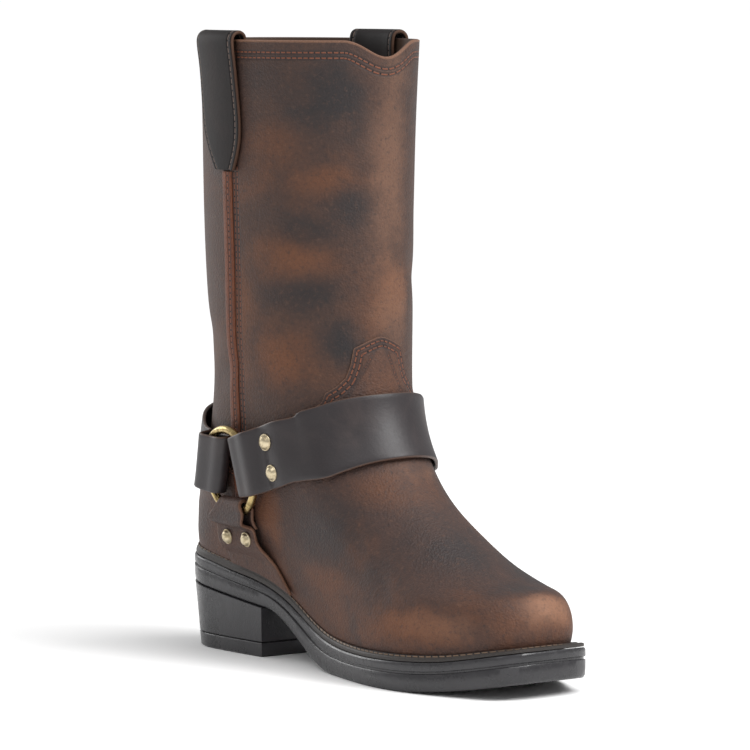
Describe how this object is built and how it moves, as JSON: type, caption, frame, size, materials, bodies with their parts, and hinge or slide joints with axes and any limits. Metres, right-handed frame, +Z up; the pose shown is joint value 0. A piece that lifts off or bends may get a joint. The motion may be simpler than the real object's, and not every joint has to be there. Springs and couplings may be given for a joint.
{
  "type": "western harness boot",
  "caption": "Tall pull-on leather boot for the right foot with a square toe, block heel, stitched welt, a riveted strap harness on side rings and pull loops at the collar.",
  "frame": {"origin": "under the middle of the heel, on the floor", "axes": "+Z up the shaft, +X towards the toe, +Y towards the inner side of the right foot"},
  "size_m": [0.295, 0.1125, 0.3478],
  "materials": {
    "sole_rubber": "semi-gloss black",
    "heel_stack": "semi-gloss black",
    "welt_leather": "satin dark brown, stitched",
    "insole_board": "dry, pale brown",
    "upper_leather": "oiled, distressed brown",
    "vamp_leather": "oiled, distressed brown",
    "seam_leather": "oiled rust brown",
    "strap_leather": "smooth dark brown with a cool sheen",
    "pull_leather": "smooth dark brown",
    "sole_strap_leather": "oiled brown",
    "brass": "antique, half polished"
  },
  "bodies": {
    "root": {"outsole": "sole_rubber", "heel_block": "heel_stack", "heel_lift": "sole_rubber", "welt": "welt_leather", "insole": "insole_board", "upper": "upper_leather", "vamp": "vamp_leather", "counter": "vamp_leather", "instep_strap": "strap_leather", "heel_strap": "strap_leather", "seam_strip_outer": "seam_leather", "seam_strip_inner": "seam_leather", "pull_strap_outer": "pull_leather", "pull_strap_inner": "pull_leather", "sole_strap_outer": "sole_strap_leather", "sole_strap_inner": "sole_strap_leather", "ring_outer": "brass", "ring_inner": "brass", "instep_rivet_upper_outer": "brass", "instep_rivet_lower_outer": "brass", "sole_rivet_back_outer": "brass", "sole_rivet_front_outer": "brass", "instep_rivet_upper_inner": "brass", "instep_rivet_lower_inner": "brass", "sole_rivet_back_inner": "brass", "sole_rivet_front_inner": "brass"}
  },
  "joints": []
}
